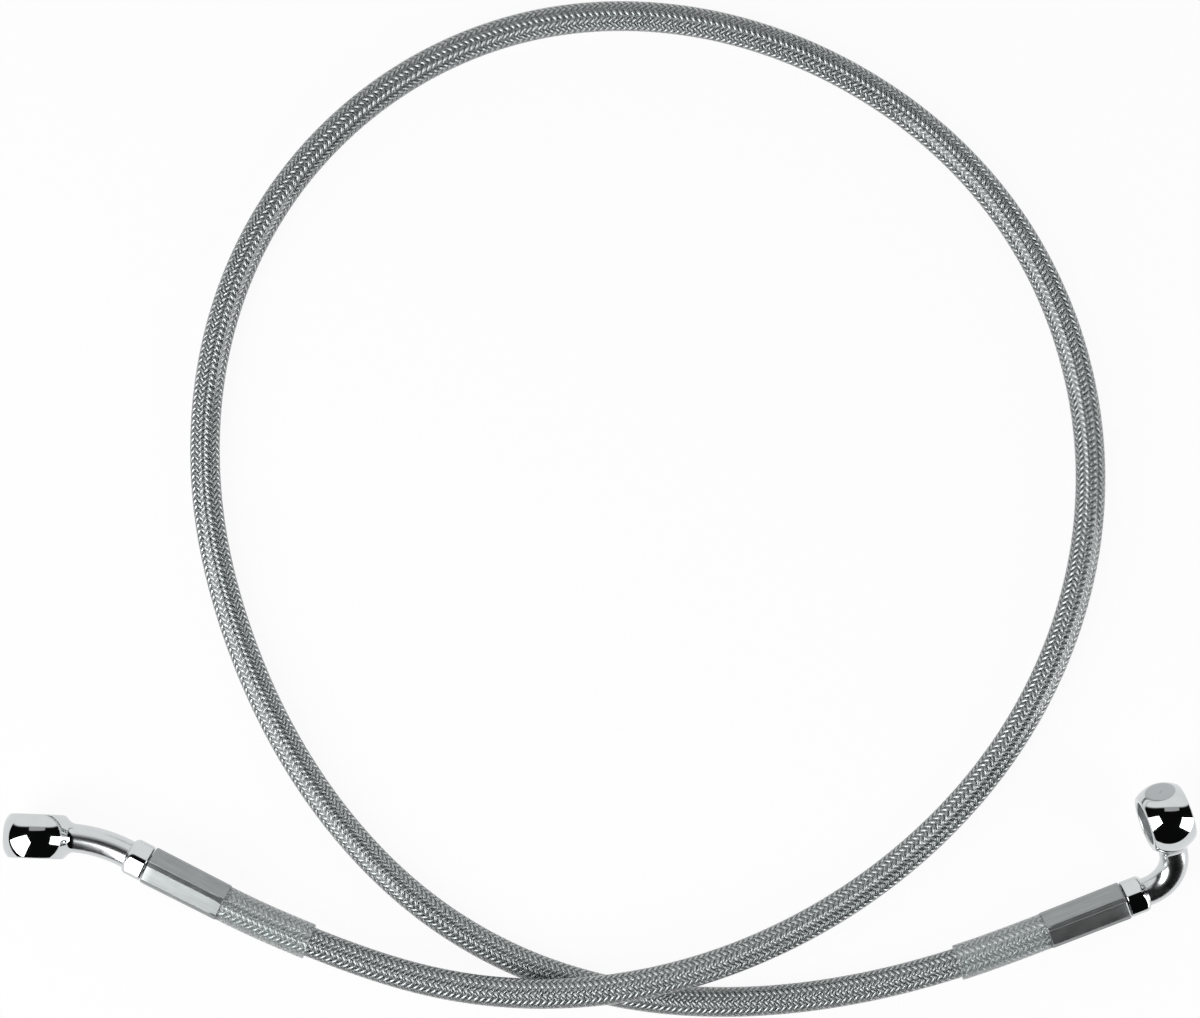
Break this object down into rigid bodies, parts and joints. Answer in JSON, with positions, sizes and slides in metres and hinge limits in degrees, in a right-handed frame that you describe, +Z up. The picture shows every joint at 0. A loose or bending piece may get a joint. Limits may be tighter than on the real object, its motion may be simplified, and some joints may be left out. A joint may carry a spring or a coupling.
{
  "type": "braided hydraulic line",
  "caption": "Flexible steel-braided hydraulic hose with a clear jacket, lying in a loop, with a crimped ball-type banjo fitting and a clear strain relief on each end.",
  "frame": {"origin": "on the table, under the middle of the line's box", "axes": "+X to the right along the longest side of the box, +Y away from the crossing towards the top of the loop, +Z up from the table"},
  "size_m": [0.2827, 0.2436, 0.0216],
  "materials": {
    "ptfe_liner": "smooth extruded white PTFE",
    "stainless_braid": "bright drawn stainless wire, braided over two under two",
    "clear_jacket": "clear glossy extruded vinyl",
    "clear_sleeve": "clear shrink tube, slightly milky",
    "crimped_steel": "dull drawn steel with lengthwise marks of the crimp dies",
    "chrome_plate": "polished chrome plate"
  },
  "bodies": {
    "hose": {"hose_liner": "ptfe_liner", "hose_braid": "stainless_braid", "hose_jacket": "clear_jacket"},
    "left_end": {"left_strain_relief_sleeve": "clear_sleeve", "left_crimp_collar": "crimped_steel", "left_banjo_fitting": "chrome_plate"},
    "right_end": {"right_strain_relief_sleeve": "clear_sleeve", "right_crimp_collar": "crimped_steel", "right_banjo_fitting": "chrome_plate"}
  },
  "joints": [
    {"name": "left_end_flex", "type": "hinge", "parent": "hose", "child": "left_end", "pos_m": [-0.0396, -0.1122, 0.0093], "axis": [0, 0, 1], "range_deg": [-20, 35], "stiffness_Nm_per_rad": 0.4, "deforming": ["hose_liner", "hose_braid", "hose_jacket"]},
    {"name": "right_end_flex", "type": "hinge", "parent": "hose", "child": "right_end", "pos_m": [0.0576, -0.1159, 0.0038], "axis": [0, 0, 1], "range_deg": [-35, 15], "stiffness_Nm_per_rad": 0.4, "deforming": ["hose_liner", "hose_braid", "hose_jacket"]}
  ]
}
